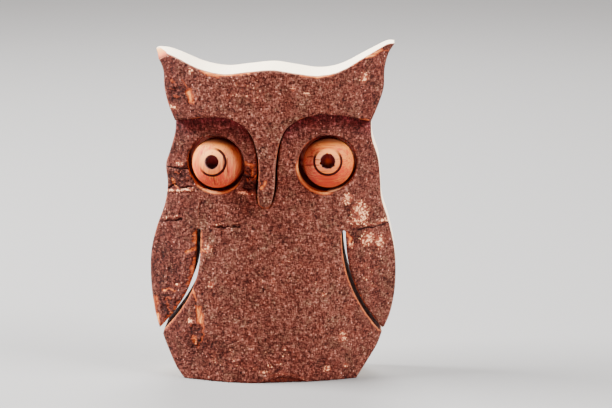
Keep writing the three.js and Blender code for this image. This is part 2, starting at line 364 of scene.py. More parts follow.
TEARS = [
    (3.6, 0.9, [(-32.5, 32.6), (-31.9, 27.4)]),
    (1.3, 1.2, [(-32.3, 32.2), (-31.5, 27)]),
    (1.2, 0.8, [(-33.9, 34.4), (-33.3, 29.4)]),
    (1.1, 0.7, [(-30.5, 30.8), (-30.2, 24.6)]),
    (1.4, 0.65, [(-31, 26.8), (-30.5, 21.5)]),
    (2.6, 0.7, [(-35, 19.6), (-33.9, 17.2)]),
    (1.0, 0.65, [(-30.5, 21), (-31.5, 18.2), (-32.9, 14.8)]),
    (1.5, 0.7, [(-36.2, 42), (-34.4, 39.5), (-33.1, 36.9)]),
    (3.0, 0.85, [(-52.4, 34.7), (-53.2, 28.9), (-52, 23.6)]),
    (1.8, 1.2, [(-52, 28.4), (-51.5, 25)]),
    (1.0, 0.8, [(-48.9, 39.4), (-46.1, 40.3), (-43.2, 39.8)]),
    (1.4, 0.5, [(-47.8, 35.4), (-46.2, 30.6)]),
    (1.4, 0.85, [(-43.3, 90.8), (-42.9, 88.9), (-41.6, 87)]),
    (1.7, 0.8, [(-8, 98.4), (-8.1, 94)]),
    (1.3, 0.9, [(-11.3, 99.7), (-9.3, 99), (-7.4, 98.4)]),
    (1.0, 1.1, [(-7.9, 92.2), (-6.8, 93.3), (-6.5, 94)]),
    (1.5, 0.85, [(-2.1, 92.2), (-2.3, 90.6), (-3.6, 89.2)]),
    (0.7, 0.6, [(-4.3, 98), (-4.3, 94.6), (-4.4, 91)]),
    (2.7, 1.0, [(-35, 130.4), (-34.3, 128.4), (-34, 126.4)]),
    (0.8, 0.6, [(-38.1, 135.7), (-36.3, 133.5), (-35, 130.8)]),
    (1.6, 0.6, [(-42.6, 134.8), (-42.2, 134)]),
    (1.1, 0.9, [(-34.4, 59.8), (-36.2, 59.1), (-37.8, 58.2)]),
    (1.1, 0.9, [(-31.4, 60.4), (-30.1, 59.5), (-28.5, 59.1)]),
    (1.8, 0.75, [(33.3, 67.4), (34.4, 65), (34, 62.8)]),
    (0.8, 0.7, [(38.4, 118.8), (42.4, 118.1)]),
    (1.2, 0.85, [(-30, 140), (-24.3, 138.4), (-15, 138.9), (-6, 139.9)]),
    (2.0, 0.9, [(-26.5, 138.6), (-22.6, 138.1)]),
    (1.1, 0.8, [(13, 138.5), (20, 137.7), (27, 138.4)]),
    (1.7, 1.15, [(41.5, 145.2), (45.2, 146.8), (47.6, 147.8)]),
    (1.3, 0.5, [(49.3, 147), (51, 147.7)]),
]
LICHEN = [(33.5, 82.8, 3, 3.4), (39, 77.6, 5.4, 4.6), (37.9, 72.5, 5.4, 3.6), (42.3, 64.2, 4.2, 4.8),
          (35, 61.8, 1.7, 2), (47.4, 62, 3.4, 5), (-28, 61.2, 2.5, 2.9), (-26.6, 44.4, 1.8, 2.4),
          (-36.4, 26.8, 2, 1.8), (23.1, 40, 1.4, 1.6), (31.5, 19.9, 2.4, 3.6), (24.5, 5.6, 2.2, 1.9),
          (32.9, 6.7, 1.5, 2), (-42.2, 123.2, 3.2, 1.6), (40.5, 136.5, 2.6, 4), (15.9, 130.7, 1.6, 1.3),
          (10, 132.9, 1.4, 1.4), (-34.2, 139.8, 1.6, 2.4), (-3, 5.2, 3, 0.8),
          (-42, 43, 1.6, 1.4), (-40.2, 97.7, 3.2, 1.8)]
DUSTY = [(44, 50, 7, 12), (-12, 132, 13, 7), (8, 50, 20, 12), (-8, 12, 26, 9)]
FIBROUS = [(-43, 53, 10, 17), (-47, 100, 8, 12), (20, 112, 14, 7), (-24, 113, 12, 5)]
BORE_EDGES = [(272, 0.45, 0.7), (226, 0.5, 1.2)]
FOOT_CHIP = {"middle": 5.1, "reach": 10.6, "high": 3.4, "depth": 0.8}
CRACK_WIDTH, CRACK_DEPTH = 0.8, 0.8
FAINT_WIDTH, FAINT_DEPTH = 0.6, 0.4
LIP_HEIGHT, TEAR_DEPTH = 0.45, 0.35
WORN_WIDTH, WORN_DEPTH = 0.5, 0.4


def bark(x, z, rim):
    """The bark over the smooth round of the log. Its height in mm is the sum of broad swellings,
    upright ridges and three sizes of flake, lowered in cracks, scars, torn strips and the foot chip
    and along the sawn rim. Returns the height and the marks that the finish reads, each from 0 to 1."""
    grain, grain_tone = scales(x + 0.5 * lumps(x, z, 2, 2, 10), z, 1.5, 1.35, 11)
    small, small_tone = scales(x + 0.3 * lumps(x, z, 1.7, 1.7, 12), z, 0.9, 0.85, 13)
    fine = 0.24 * np.minimum(grain, 0.6) + 0.2 * np.minimum(small, 0.5) + 0.1 * lumps(x, z, 0.8, 0.7, 14)
    ridges = lumps(x + 1.2 * lumps(x, z, 6, 9, 15), z, 2.2, 7, 16)
    height = fine - 0.25 + 0.06 * ridges + 0.1 * lumps(x, z, 3.1, 2.6, 17) + 0.12 * lumps(x, z, 8.5, 7.5, 18)
    height += 0.16 * (grain_tone > 0.8) * np.minimum(grain * 2, 1)
    fibred = within(x, z, FIBROUS, 19)
    upright = lumps(x + 0.4 * lumps(x, z, 3, 5, 20), z, 0.8, 5.5, 9)
    height += 0.13 * fibred * upright

    crack = along(x, z, CRACKS, CRACK_WIDTH, 21)
    faint = along(x, z, FAINT_CRACKS, FAINT_WIDTH, 24) * 0.8
    lip = strips(x, z, LIPS, 27)
    scar = within(x, z, SCARS, 31)
    flake, flake_tone = scales(x + lumps(x, z, 2, 2, 32), z + 0.2 * x, 2.2, 1.3, 33)
    tear = strips(x, z, TEARS, 50)

    on_left = x < 0
    wing_side = from_kerf(x, z, left_wing_side, right_wing_side)
    belly_side = from_kerf(x, z, left_belly_side, right_belly_side)
    on_wing = wing_side < belly_side
    hatch = lumps(x, z, 1.7, 0.5, 37)
    between = unit(-hatch * 1.4)
    reach = np.where(on_left, 1.9 - 0.7 * unit((46 - z) / 12), 0.55)
    reach += 0.3 * lumps(x, z, 9, 4.5, 38)
    strip = on_wing * unit(1.3 - wing_side / np.maximum(reach, 0.2) + 0.5 * hatch)
    strip *= np.where(on_left, 0.8, 0.6)
    seen = np.where(on_left, 0.5 + 0.5 * unit((50 - z) / 14), 1)
    edge_strip = ~on_wing * seen * unit(1.3 - belly_side / 0.6 + 0.5 * hatch)
    fringe = ~on_wing * on_left * (z > 57) * unit(1.1 - belly_side / 1.3 + 0.5 * hatch)
    rim_tear = unit(1.2 - rim / 0.5 + 0.6 * hatch) * (lumps(x, z, 4.5, 4.5, 40) > 0.25)

    u = (x - FOOT_CHIP["middle"]) / FOOT_CHIP["reach"]
    chip_top = FOOT_CHIP["high"] * unit(1 - u * u) + 0.5 * ragged(x, z, 44) * (np.abs(u) < 1)
    chip = unit((chip_top - z) / 0.8) * (np.abs(u) < 1)
    above = np.exp(-(((z - chip_top - 0.8) / 0.7) ** 2)) * (np.abs(u) < 0.9)

    lichen = within(x, z, LICHEN, 41, sharp=1.5, rough=0.9)
    specks = unit(3 * lumps(x, z, 1.3, 1.1, 62) - 1.2 + lumps(x, z, 5, 5, 63))
    dusty = 0.42 * unit(3 * oval_depth(x, z, DUSTY)) * specks
    bore_edge = np.zeros(x.shape)
    for (bx, bz), (turn, share, wide) in zip(BORES.values(), BORE_EDGES):
        lean = np.cos(np.arctan2(z - bz, x - bx) - radians(turn))
        far = np.hypot(x - bx, z - bz) - BORE / 2
        bore_edge += unit((lean - 1 + share) / share * 2) * unit(1.25 - far / wide) * 1.25
    pale = np.maximum.reduce([0.85 * lichen, dusty, lip, 0.4 * above])
    torn = np.maximum.reduce([
        tear, bore_edge, strip * (0.75 + 0.35 * hatch), edge_strip * 0.7, fringe * 0.7, rim_tear * 0.55,
        scar * np.clip(5 * flake_tone - 4.3, 0, 0.4), chip * 0.32])
    # Dark marks: cracks and the hatch in torn strips; painted shadow lines along the flakes' edges in scars;
    # the foot chip, partly inner bark and partly painted shade
    dark = np.maximum.reduce([
        crack, faint * 0.7, scar * unit(1.2 - 4 * flake) * 0.62, chip * 0.45, strip * between,
        fringe * between])
    height += lip * LIP_HEIGHT - crack * CRACK_DEPTH - faint * FAINT_DEPTH - np.minimum(tear, 1) * TEAR_DEPTH
    height += scar * (0.6 * flake_tone + 0.3 * np.minimum(flake, 0.5) - 0.45)
    height -= strip * (0.5 + 0.25 * hatch) + edge_strip * 0.3 + fringe * 0.3 + rim_tear * 0.25
    height -= FOOT_CHIP["depth"] * chip
    height -= WORN_DEPTH * unit(1 - rim / (WORN_WIDTH + 0.3 * lumps(x, z, 1.3, 1.3, 43)))
    # Pits: partly the bark's own random tone and dull patches, partly painted shade where the bark lies low
    pit = 0.62 - 2.2 * (fine - 0.14) - 0.45 * (grain_tone - 0.5) - 0.3 * (small_tone - 0.5) - 0.12 * ridges
    pit += 0.3 * unit(2 * oval_depth(x, z, DULL)) - 0.28 * upright * (0.25 + fibred)
    return height, {"torn": torn, "dark": dark, "pale": pale, "pit": np.clip(pit, -0.3, 1.3)}


def in_parts(p):
    """The places in arrays of at most 3000, which keeps tables of them small."""
    return np.array_split(p, len(p) // 3000 + 1)


def rim_distance(p, edge):
    """Distance from each place to the nearest place of the edge."""
    return np.concatenate([np.sqrt(((q[:, None] - edge) ** 2).sum(2).min(1)) for q in in_parts(p)])


def inside(p, loop):
    """Which places lie inside a closed loop: those with an odd number of its edges to their left."""
    a, b = loop, np.roll(loop, -1, 0)
    run = np.where(b[:, 1] == a[:, 1], 1, b[:, 1] - a[:, 1])
    odd = []
    for q in in_parts(p):
        x, z = q[:, :1], q[:, 1:]
        spans = (a[:, 1] > z) != (b[:, 1] > z)
        cut = a[:, 0] + (z - a[:, 1]) * (b[:, 0] - a[:, 0]) / run
        odd.append((spans & (cut < x)).sum(1) % 2 == 1)
    return np.concatenate(odd)


def first_places(loops):
    """The number of each loop's first place when all the loops' places are numbered through."""
    return np.cumsum([0] + [len(loop) for loop in loops])


def next_places(loops):
    """For each place of the loops, the number of the next one round its own loop."""
    starts = first_places(loops)
    return np.concatenate([s + np.roll(np.arange(len(loop)), -1) for s, loop in zip(starts, loops)])


ROW_SHARE = 0.866
SHAKEN = 0.16
CLEAR_OF_RIM = 0.62


def filled(loops, bores, step, seed):
    """A flat sheet inside the outer loop and outside the bores: the loops' places, then a honeycomb of
    places that step apart, each second row moved by half a step, and a little shaken. Returns the
    places, their triangles and how far each place is from the loops."""
    edge = np.concatenate(loops)
    low, high = edge.min(0), edge.max(0)
    rows = np.arange(low[1], high[1], step * ROW_SHARE)
    columns = np.arange(low[0], high[0], step)
    x, z = np.meshgrid(columns, rows)
    x += step / 2 * (np.arange(len(rows)) % 2)[:, None]
    p = np.c_[x.ravel(), z.ravel()]
    p += np.random.default_rng(seed).uniform(-SHAKEN, SHAKEN, p.shape) * step
    keep = inside(p, loops[0])
    for middle in bores:
        keep &= np.hypot(*(p - middle).T) > BORE / 2
    p = p[keep]
    rim = rim_distance(p, edge)
    clear = rim > CLEAR_OF_RIM * min(step, 1)
    p = np.concatenate([edge, p[clear]])
    rim = np.r_[np.zeros(len(edge)), rim[clear]]
    ties = np.c_[np.arange(len(edge)), next_places(loops)]
    out = delaunay_2d_cdt(list(map(Vector, p.tolist())), ties.tolist(), [], 1, 1e-7)
    faces = np.array(out[2])
    middle = p[faces].mean(1)
    keep = np.ones(len(faces), bool)
    for bore in bores:
        keep &= np.hypot(*(middle - bore).T) > BORE / 2 * 0.999
    assert len(out[0]) == len(p)
    return p, faces[keep], rim


# A wall's rows: so many mm behind the front, then at these shares of the rest. Its eased back edge, the
# least depth that a break leaves, and what the mark named bored is at the top of a bore
WALL_ROWS = [0.12, 0.4, 0.9, 1.5, 2.3, 3.2]
WALL_SHARES = [0.12, 0.28, 0.45, 0.62, 0.8, 0.93]
EASED = 0.25
THINNEST = 1.2
BORE_TOP = 0.15


def inset(loop, by):
    """A loop moved towards its material, along the normal between each place's two neighbours."""
    run = np.roll(loop, -1, 0) - np.roll(loop, 1, 0)
    inwards = np.c_[-run[:, 1], run[:, 0]]
    return loop + np.reshape(by, (-1, 1)) * inwards / np.linalg.norm(run, axis=1)[:, None]


def narrow(x, z):
    """Marks for walls where little light gets in, which the finish paints with shade: tight is 1 in a kerf,
    the slot round the beak or a bore, fading to 0 away from them, and bored is 0 but in a bore, where it runs
    from BORE_TOP at the upper right to 1 at the lower left, the way light falls into it, for a painted red
    reflection at the top and painted light at the lower left."""
    slot = away(x, z, even(seam(GLUE_GAP / 2, BEAK_KERF / 2), 3))
    kerfs = from_kerf(x, z, left_wing_side, left_belly_side, right_wing_side, right_belly_side)
    tight = unit(2 - np.minimum(slot, kerfs) / 0.8)
    bored = np.zeros(x.shape)
    for bx, bz in BORES.values():
        lower = 0.5 - 0.5 * np.clip((0.35 * (x - bx) + 0.94 * (z - bz)) / (BORE / 2), -1, 1)
        bored = np.where(np.hypot(x - bx, z - bz) < BORE / 2 + 0.1, BORE_TOP + (1 - BORE_TOP) * lower, bored)
    return {"tight": np.where(bored > 0, 1, tight), "bored": bored}


def broken_off(x, z, plane):
    """How far back a break has taken the front at each place: the plane through three places, a
    little rough. Without a plane nothing is broken."""
    if plane is None:
        return np.full(x.shape, -np.inf)
    a, b, c = np.array(plane, float)
    nx, ny, nz = np.cross(b - a, c - a)
    return a[1] - (nx * (x - a[0]) + nz * (z - a[2])) / ny + 0.5 * lumps(x, z, 0.9, 0.7, 61)


# Where the painted side shade begins on the left and right, where the ears begin, and how far below the brow
# its painted shadow reaches, in mm
FLANK_FROM_LEFT, FLANK_FROM_RIGHT = -28, 31
EARS_FROM = 118
BROW_SHADOW_REACH = 9


def painted_bark_shade(x, z):
    """Painted shade for the bark's colour. The first mark is 1 right under the brow line and fades out lower
    down: a painted shadow of the brow. The second grows to 1 at the left side, less at the right side and the
    foot, and is 0 between: painted shade on the sides and the foot."""
    left_spans, right_spans = len(BROW_CURVE_LEFT), len(BROW_CURVE_RIGHT) + 1
    brow = seam(0, 0)[np.r_[:left_spans * SPAN_STEPS, -right_spans * SPAN_STEPS:0]]
    below = np.interp(x, *brow.T) - z
    left, right = unit((FLANK_FROM_LEFT - x) / 14), unit((x - FLANK_FROM_RIGHT) / 10)
    sides = np.where(z > EARS_FROM, left + 0.8 * right, 0.86 * left + 0.48 * right)
    foot = 0.5 * unit((20 - z) / 12)
    return {"sheltered": unit(1.2 - below / BROW_SHADOW_REACH) * (below > 0), "flank": np.maximum(sides, foot)}


def new_piece(name, places, faces, marks):
    """A smoothly shaded mesh from places in mm and faces, with an attribute for each mark."""
    mesh = bpy.data.meshes.new(name)
    mesh.from_pydata((places * MM).tolist(), [], faces)
    mesh.polygons.foreach_set("use_smooth", np.ones(len(mesh.polygons), bool))
    for mark, values in marks.items():
        mesh.attributes.new(mark, "FLOAT", "POINT").data.foreach_set("value", values.astype(np.float32))
    return new_object(name, mesh)


def slab_piece(name, outer, bores, forward, seed, flare=0.0, plane=None):
    """A piece sawn from the slab, standing forward of its place by so much. The front is the sheet
    inside the outline, raised to the bark's depth plus its height, or less where it broke off. Walls
    run straight back from the loops in rows, close together through the bark, to the flat back or to
    a bore's floor. flare is how far each place of the outline has moved outwards at the back, where
    the saw leaned. Of the marks, bare is 1 where the front broke off and deep is the depth in mm
    behind the bark's surface."""
    middles = list(bores.values())
    loops = [outer] + [ring(middle, BORE / 2, EDGE_STEP) for middle in middles]
    front, front_faces, rim = filled(loops, middles, FRONT_STEP, seed)
    height, marks = bark(*front.T, rim)
    back = SLAB_BACK - forward
    bark_y = back - log_depth(*front.T) - height
    front_y = np.minimum(np.maximum(bark_y, broken_off(*front.T, plane)), back - THINNEST)
    marks["bare"] = unit((front_y - bark_y) / 0.4)
    marks.update(painted_bark_shade(*front.T))
    # The brow's painted shadow falls on the body only
    marks["sheltered"] *= forward == 0

    edge = np.concatenate(loops)
    n = len(edge)
    floors = [back - log_depth(*middle) + BALL_SUNK + BALL / 2 + GLUE_GAP for middle in middles]
    end_y = np.repeat([back, *floors], [len(loop) for loop in loops])
    thick = end_y - front_y[:n]
    thin = np.minimum(1, thick / 9)
    rows_y = [front_y[:n] + row * thin for row in WALL_ROWS]
    through = rows_y[-1]
    rows_y += [through + (end_y - through) * share for share in WALL_SHARES]
    rows_y += [end_y - EASED * thin, end_y]
    leans = [0] * len(WALL_ROWS) + WALL_SHARES + [0.98]
    rows_xz = [np.concatenate([inset(outer, -flare * lean), *loops[1:]]) for lean in leans]
    rows_xz += [np.concatenate([inset(outer, EASED * 0.7 - flare), *loops[1:]])]
    walls = np.concatenate([np.c_[xz[:, 0], y, xz[:, 1]] for xz, y in zip(rows_xz, rows_y)])
    rows = [np.arange(n)] + [len(front) + n * k + np.arange(n) for k in range(len(rows_y))]
    after = next_places(loops)
    quads = np.concatenate([np.c_[a, b, b[after], a[after]] for a, b in zip(rows[:-1], rows[1:])])

    places = [np.c_[front[:, 0], front_y, front[:, 1]], walls]
    triangles = [front_faces]
    last = len(front) + len(walls)
    starts = first_places(loops)
    caps = [(rows_xz[-1][:len(outer)], back, True)]
    caps += [(loop[::-1], floor, False) for loop, floor in zip(loops[1:], floors)]
    for k, (loop, y, behind) in enumerate(caps):
        sheet, faces, _ = filled([loop], [], BACK_STEP, seed + 1 + k)
        m = len(loop)
        ids = rows[-1][starts[k]:starts[k + 1]]
        names = np.r_[ids if behind else ids[::-1], last + np.arange(len(sheet) - m)]
        triangles.append(names[faces[:, ::-1] if behind else faces])
        places.append(np.c_[sheet[m:, 0], np.full(len(sheet) - m, y), sheet[m:, 1]])
        last += len(sheet) - m
    places = np.clip(np.concatenate(places), *np.array(cad_box) / MM)
    triangles = np.concatenate(triangles)

    rim_y = np.r_[bark_y, np.tile(bark_y[:n], len(rows_y))]
    deep = places[:, 1] - np.r_[rim_y, back - log_depth(*places[len(rim_y):, [0, 2]].T)]
    fade = unit(1 - deep[len(front):len(rim_y)] / 1.6)
    fades = {"torn": fade, "dark": fade, "pale": fade, "pit": fade, "bare": 0, "sheltered": 0, "flank": 1}
    beyond = np.zeros(len(places) - len(rim_y))
    for mark, share in fades.items():
        marks[mark] = np.r_[marks[mark], np.tile(marks[mark][:n], len(rows_y)) * share, beyond]
    marks["deep"] = deep
    for mark, values in narrow(*edge.T).items():
        at_back = np.r_[0 * values[:len(outer)], values[len(outer):]]
        marks[mark] = np.r_[np.zeros(len(front)), np.tile(values, len(rows_y) - 1), at_back, beyond]
    return new_piece(name, places, triangles.tolist() + quads.tolist(), marks)


def sign(operation):
    """What a sign does with the socket in front of it and with the socket behind it."""
    return (lambda self, other: self.math(operation, self, other),
            lambda self, other: self.math(operation, other, self))


class Shade:
    """One socket of a material's nodes. Python's signs on it add Math nodes, also with a plain number
    on either side, and node() adds any other node."""

    __add__, __radd__ = sign("ADD")
    __sub__, __rsub__ = sign("SUBTRACT")
    __mul__, __rmul__ = sign("MULTIPLY")
    __truediv__, __rtruediv__ = sign("DIVIDE")
    __pow__, __rpow__ = sign("POWER")

    def __init__(self, socket):
        self.socket = socket

    def node(self, kind, settings={}, sockets={}, output=0):
        """A node of that type: its settings first, then a value or a link for each named socket."""
        made = self.socket.id_data.nodes.new(kind)
        for key, value in settings.items():
            if key == "stops":
                while len(made.color_ramp.elements) < len(value):
                    made.color_ramp.elements.new(1)
                for stop, (place, colour) in zip(made.color_ramp.elements, value):
                    stop.position, stop.color = place, colour
            else:
                setattr(made, key, value)
        for key, value in sockets.items():
            if isinstance(value, Shade):
                self.socket.id_data.links.new(value.socket, made.inputs[key])
            else:
                made.inputs[key].default_value = value
        return Shade(made.outputs[output])

    def math(self, operation, first, second=0.0):
        return self.node("ShaderNodeMath", {"operation": operation}, {0: first, 1: second})

    def step(self, low, high):
        """0 below low, 1 above high, with a soft S-shaped change between them."""
        return self.node("ShaderNodeMapRange", {"interpolation_type": "SMOOTHSTEP"},
                         {"Value": self, "From Min": low, "From Max": high})

    def ramp(self, stops):
        """A colour read off along stops, each a place from 0 to 1 and a colour."""
        return self.node("ShaderNodeValToRGB", {"stops": stops}, {"Fac": self})

    def mix(self, first, second, blend="MIX"):
        """This much of the way from the first colour to the second, or to the two blended."""
        settings = {"data_type": "RGBA", "blend_type": blend}
        return self.node("ShaderNodeMix", settings, {0: self, 6: first, 7: second}, 2)

    def tint(self, first, factors):
        """This much of the way from the colour to its product with factors for red, green and blue."""
        return self.mix(first, (*factors, 1), "MULTIPLY")

    def scaled(self, x, y, z):
        """These coordinates, stretched along each axis."""
        return self.node("ShaderNodeVectorMath", {"operation": "MULTIPLY"}, {0: self, 1: (x, y, z)})

    def noise(self, scale, detail=2.0, rough=0.5, output=0):
        sockets = {"Vector": self, "Scale": scale, "Detail": detail, "Roughness": rough}
        return self.node("ShaderNodeTexNoise", {}, sockets, output)

    def channel(self, index):
        """One channel of these colours: 0 red, 1 green, 2 blue."""
        return self.node("ShaderNodeSeparateColor", {}, {0: self}, index)

    def attributes(self, *names):
        """The mesh's marks of these names."""
        return [self.node("ShaderNodeAttribute", {"attribute_name": name}, {}, 2) for name in names]

    def cells(self, scale, output=0):
        """Random cells: distance to the nearest middle or, as output 1, a random colour for each cell."""
        return self.node("ShaderNodeTexVoronoi", {"feature": "F1"}, {"Vector": self, "Scale": scale}, output)

    def dots(self, scale, rare, size):
        """Scattered dots: of random cells, so many to a millimetre, only those whose own random number
        is above rare, and of each only what is nearer to its middle than size."""
        far, own = self.cells(scale), self.cells(scale, 1)
        return own.channel(0).step(rare, rare + 0.03) * (size - far).step(-0.06, 0.12)

    def bump(self, height, strength, distance):
        return self.node("ShaderNodeBump", {}, {"Height": height, "Strength": strength, "Distance": distance})


def rgb(red, green, blue):
    """A colour written as 0 to 255, turned into the linear values that a shader works with."""
    c = np.array([red, green, blue]) / 255
    return (*np.where(c < 0.04045, c / 12.92, ((c + 0.055) / 1.055) ** 2.4).tolist(), 1.0)


def new_finish(name):
    """A material with its principled shader, and Object coordinates in millimetres."""
    material = bpy.data.materials.new(name)
    material.use_nodes = True
    shader = material.node_tree.nodes["Principled BSDF"]
    where = Shade(shader.outputs[0]).node("ShaderNodeTexCoord", output="Object").scaled(1000, 1000, 1000)
    return material, shader, where


def feed(shader, **sockets):
    """A value or a link for each of the shader's sockets, named with _ for a space."""
    for name, value in sockets.items():
        socket = shader.inputs[name.replace("_", " ")]
        if isinstance(value, Shade):
            shader.id_data.links.new(value.socket, socket)
        else:
            socket.default_value = value


LOG_AXIS = 86.6
RING_STEP = 2.3
BARK_DEEP = rgb(32, 6, 4)
BARK_CRUMB = rgb(216, 158, 136)
LICHEN_DULL = rgb(150, 78, 56)
LICHEN_PALE = rgb(244, 190, 138)
CAMBIUM = rgb(96, 46, 26)
SAPWOOD = rgb(250, 234, 206)
SAPWOOD_LINE = rgb(206, 162, 112)
SAPWOOD_WARM = rgb(232, 200, 160)
# Painted shade for the walls of kerfs, the beak's slot and bores
PAINTED_GAP_SHADE = rgb(86, 27, 17)
# A painted red reflection on the top of a bore's wall
BORE_RED_REFLECTION = rgb(156, 24, 20)
# Painted light on the front of a bore's lower wall
BORE_FOOT_LIGHT = rgb(226, 152, 100)
# Stops of colour, from dark to pale
BARK_TONES = ((0.0, BARK_DEEP), (0.25, rgb(62, 20, 12)), (0.5, rgb(95, 50, 40)),
              (0.75, rgb(126, 79, 67)), (1.0, rgb(176, 120, 104)))
INNER_BARK = ((0.18, rgb(92, 36, 22)), (0.38, rgb(132, 62, 34)), (0.66, rgb(186, 108, 52)),
              (0.98, rgb(226, 162, 88)))
CUT_BARK = ((0.3, rgb(84, 44, 30)), (0.5, rgb(138, 82, 56)), (0.7, rgb(176, 118, 82)))
SPLINTERS = ((0.06, rgb(120, 46, 26)), (0.26, rgb(196, 100, 50)), (0.6, rgb(216, 152, 82)), (1.0, SAPWOOD))
# Factors for red, green and blue that tint the bark from place to place. Three of them come and go at random;
# the others are painted light on the log's middle, painted shade on its sides and foot, and a painted shadow
# under the brow
REDDER = (1.02, 0.88, 0.83)
GREYER = (0.93, 1.15, 1.07)
CENTRE_LIGHT_TINT = (1.03, 1.18, 1.13)
SIDE_SHADE_TINT = (0.66, 0.53, 0.5)
OLIVE = (0.86, 1.08, 0.82)
BROW_SHADOW_TINT = (0.56, 0.17, 0.4)


def log_finish(name, axis_y):
    """Bark in front, and bare sawn wood from the depth where the bark ends. The bark's tone is noise less the
    marked pits, which are partly painted shade in its hollows, with tints, torn strips, lichen and cracks
    laid over it in turn; some tints are painted light on the log's middle, painted shade on its sides and
    foot and a painted shadow under the brow. Growth rings are the distance from the log's upright axis, in
    steps. Saw marks run front to back on the walls. Walls in kerfs, the beak's slot and bores get painted
    shade, the top of a bore a painted red reflection and the front of its lower wall painted light."""
    material, shader, where = new_finish(name)
    deep, tight, bored = where.attributes("deep", "tight", "bored")
    torn, dark, pale, bare = where.attributes("torn", "dark", "pale", "bare")
    pit, sheltered, flank = where.attributes("pit", "sheltered", "flank")

    level, upright = where.scaled(1.9, 1.2, 0.6), where.scaled(0.7, 1.2, 1.9)
    fine = 0.5 + (level.noise(1.1, 3, 0.55) + upright.noise(1.1, 3, 0.55) - 1) * 0.6
    grain = where.noise(1.1, 2, 0.6)
    # Darker in the pits: partly painted shade in the bark's hollows
    tone = 0.51 + (fine - 0.5) * 2.1 + (grain - 0.5) * 0.6 - (pit - 0.6) * 0.52
    skin = tone.ramp(BARK_TONES)
    patch = where.noise(0.16, 3, 0.6)
    skin = patch.step(0.5, 0.66).tint(skin, REDDER)
    skin = (1 - patch.step(0.34, 0.5)).tint(skin, GREYER)
    # Painted light: the log's middle is lighter and greener. Painted shade: the sides and the foot are darker
    skin = (1 - flank).tint(skin, CENTRE_LIGHT_TINT)
    skin = flank.tint(skin, SIDE_SHADE_TINT)
    olive = where.noise(1.5, 2, 0.6, 1).channel(1)
    skin = (olive.step(0.5, 0.66) * 0.6).tint(skin, OLIVE)
    # Painted shadow under the brow, dark red, fading out lower down
    skin = (sheltered * 0.85).tint(skin, BROW_SHADOW_TINT)
    crumb = where.scaled(1.3, 1, 0.75).dots(0.85, 0.9, 0.26)
    hole = where.scaled(0.7, 1, 1.3).dots(0.8, 0.86, 0.34)
    skin = (crumb * 0.65).mix(skin, BARK_CRUMB)
    skin = (hole * 0.8).mix(skin, BARK_DEEP)
    fibre = where.scaled(0.9, 1, 2.6).noise(0.8, 3, 0.6)
    frayed = torn + (fine - 0.5) * torn.step(0.02, 0.3) * 0.9
    skin = frayed.step(0.2, 0.42).mix(skin, (frayed * 0.75).ramp(INNER_BARK))
    skin = (pale.step(0.0, 0.9) * 0.55).mix(skin, LICHEN_DULL)
    spots = (pale * 0.62 + (fine + grain - 1) * 1.2 - where.cells(0.85)).step(-0.08, 0.16)
    skin = (spots * pale.step(0.02, 0.3)).mix(skin, LICHEN_PALE)
    skin = (dark * 1.2).step(0.2, 0.9).mix(skin, BARK_DEEP)

    cut_bark = where.scaled(0.5, 1.4, 0.5).noise(1.1, 3, 0.6).ramp(CUT_BARK)
    drift = where.scaled(1, 1, 0.18).noise(0.06, 2, 0.5) * 9
    spread = where.node("ShaderNodeVectorMath", {"operation": "MULTIPLY_ADD"},
                        {0: where, 1: (1, 1, 0.035), 2: (-CREST_X, -axis_y, 0)})
    radius = where.node("ShaderNodeVectorMath", {"operation": "LENGTH"}, {0: spread}, 1)
    ring_share = where.math("FRACT", (radius + drift) / RING_STEP)
    pores = where.scaled(2.2, 2.2, 0.12).noise(1.3, 3, 0.6)
    wood = (ring_share ** 4 * 0.55 + (pores - 0.5) * 0.9).step(0.0, 0.9).mix(SAPWOOD, SAPWOOD_LINE)
    wood = (where.noise(0.05, 2, 0.5).step(0.5, 0.75) * 0.35).mix(wood, SAPWOOD_WARM)
    bark_edge = BARK_THICK + (where.noise(0.35, 2, 0.5) - 0.5) * 1.4
    # Walls in narrow gaps get painted shade, and the top of a bore a painted red reflection
    reflecting_top = bored.step(0.0, 0.1) * (1 - bored.step(0.2, 0.5))
    wood = (tight * 0.97).mix(wood, reflecting_top.mix(PAINTED_GAP_SHADE, BORE_RED_REFLECTION))
    under = (deep - bark_edge).step(-0.15, 0.15)
    cambium = (deep - bark_edge).step(-0.5, -0.1) * 0.7
    section = under.mix(cambium.mix(cut_bark, CAMBIUM), wood)
    # Painted light: the front of a bore's lower wall, more towards its lower left, is pale
    lit_bore_foot = (bored - BORE_TOP) * (1 - deep.step(2.4, 6)) * (0.7 + fine * 0.5)
    section = lit_bore_foot.step(0.25, 0.8).mix(section, BORE_FOOT_LIGHT)
    colour = deep.step(0.05, 0.35).mix(skin, section)
    splinters = ((deep + (fibre - 0.5) * 4) / 21).ramp(SPLINTERS)
    colour = bare.step(0.4, 0.8).mix(colour, splinters)

    saw = where.scaled(1, 0.06, 1).noise(1.1, 2, 0.5)
    on_wall = deep.step(0.1, 0.6)
    bark_relief = where.noise(3.2, 3, 0.65) * 0.35 + fine * 0.4
    relief = (1 - on_wall) * bark_relief + on_wall * (saw * 0.28 + pores * 0.12)
    feed(shader, Base_Color=colour, Roughness=0.92 - under * 0.2, Normal=where.bump(relief, 0.8, 0.5 * MM),
         IOR=1.45, Specular_IOR_Level=0.25)
    return material


body = slab_piece("owl_body", body_loop, BORES, 0.0, 5)
body.data.materials.append(log_finish("body_bark_and_wood", LOG_AXIS))
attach(body, "root")
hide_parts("body")

